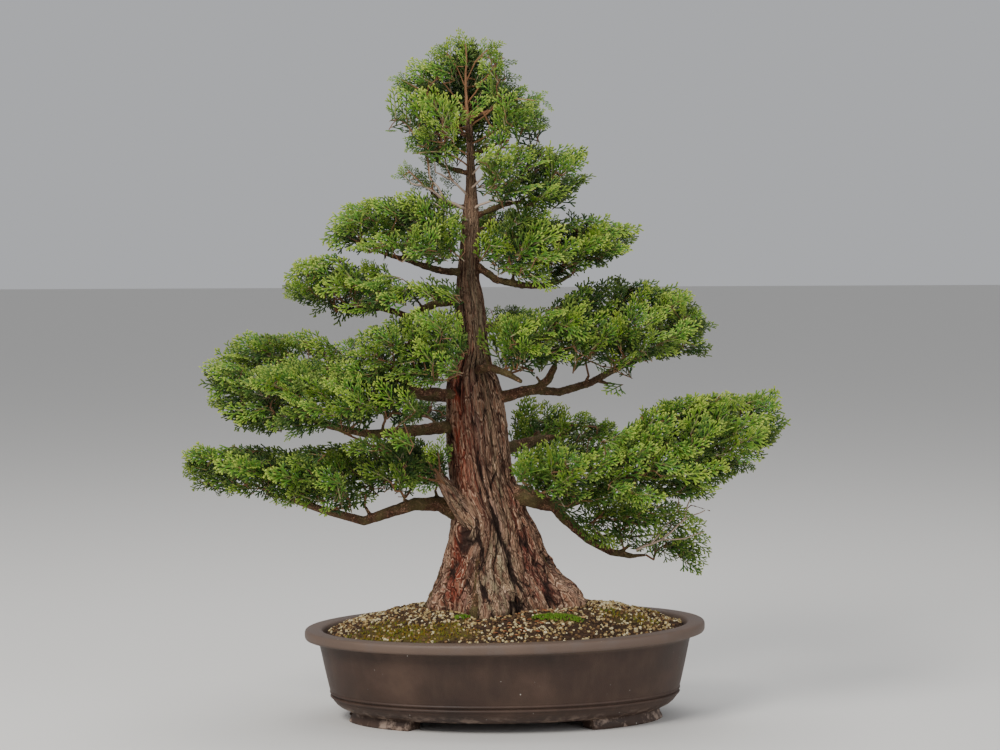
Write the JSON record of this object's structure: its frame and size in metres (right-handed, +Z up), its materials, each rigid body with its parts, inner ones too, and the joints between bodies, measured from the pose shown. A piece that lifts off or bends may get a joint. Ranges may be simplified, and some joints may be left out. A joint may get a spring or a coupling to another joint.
{
  "type": "japanese cedar bonsai",
  "caption": "Potted miniature conifer: fluted tapering trunk, tiers of leafy branches in flat fan-like sprays, and a mounded bed of soil in a low oval clay pot on feet.",
  "frame": {"origin": "under the middle of the whole object's box, on the ground that the pot's feet stand on", "axes": "+Z up, X along the pot's long side, -Y toward the tree's front"},
  "size_m": [0.5966, 0.3294, 0.6892],
  "materials": {
    "clay": "unglazed, matt",
    "soil": "coarse, rough",
    "bark": "fibrous, rough",
    "foliage": "fresh leaf, satin"
  },
  "bodies": {
    "root": {"leafy_back_high_1": "foliage", "leafy_back_left_1": "foliage", "leafy_back_mid_1": "foliage", "leafy_back_right_1": "foliage", "leafy_back_right_2": "foliage", "leafy_crown_back_1": "foliage", "leafy_crown_front_1": "foliage", "leafy_crown_left_1": "foliage", "leafy_crown_left_low_1": "foliage", "leafy_crown_right_1": "foliage", "leafy_crown_right_low_1": "foliage", "leafy_front_1": "foliage", "leafy_front_2": "foliage", "leafy_front_3": "foliage", "leafy_leader": "foliage", "leafy_left_four_1": "foliage", "leafy_left_four_2": "foliage", "leafy_left_four_4": "foliage", "leafy_left_four_5": "foliage", "leafy_left_four_6": "foliage", "leafy_left_four_7": "foliage", "leafy_left_high_1": "foliage", "leafy_left_high_2": "foliage", "leafy_left_low_1": "foliage", "leafy_left_low_2": "foliage", "leafy_left_low_4": "foliage", "leafy_left_low_5": "foliage", "leafy_left_one_1": "foliage", "leafy_left_one_3": "foliage", "leafy_left_one_4": "foliage", "leafy_left_two_1": "foliage", "leafy_left_two_2": "foliage", "leafy_left_two_4": "foliage", "leafy_low_left_1": "foliage", "leafy_low_right_1": "foliage", "leafy_low_right_2": "foliage", "leafy_mossy_1": "foliage", "leafy_right_far_1": "foliage", "leafy_right_far_2": "foliage", "leafy_right_far_3": "foliage", "leafy_right_far_5": "foliage", "leafy_right_far_6": "foliage", "leafy_right_low_1": "foliage", "leafy_right_low_2": "foliage", "leafy_right_low_3": "foliage", "leafy_right_main_1": "foliage", "leafy_right_main_3": "foliage", "leafy_right_main_4": "foliage", "leafy_right_main_5": "foliage", "leafy_right_main_7": "foliage", "leafy_right_main_8": "foliage", "leafy_right_one_1": "foliage", "leafy_right_one_2": "foliage", "leafy_right_one_4": "foliage", "leafy_right_two_1": "foliage", "leafy_right_two_2": "foliage", "pot": "clay", "soil": "soil", "wood": "bark"}
  },
  "joints": []
}
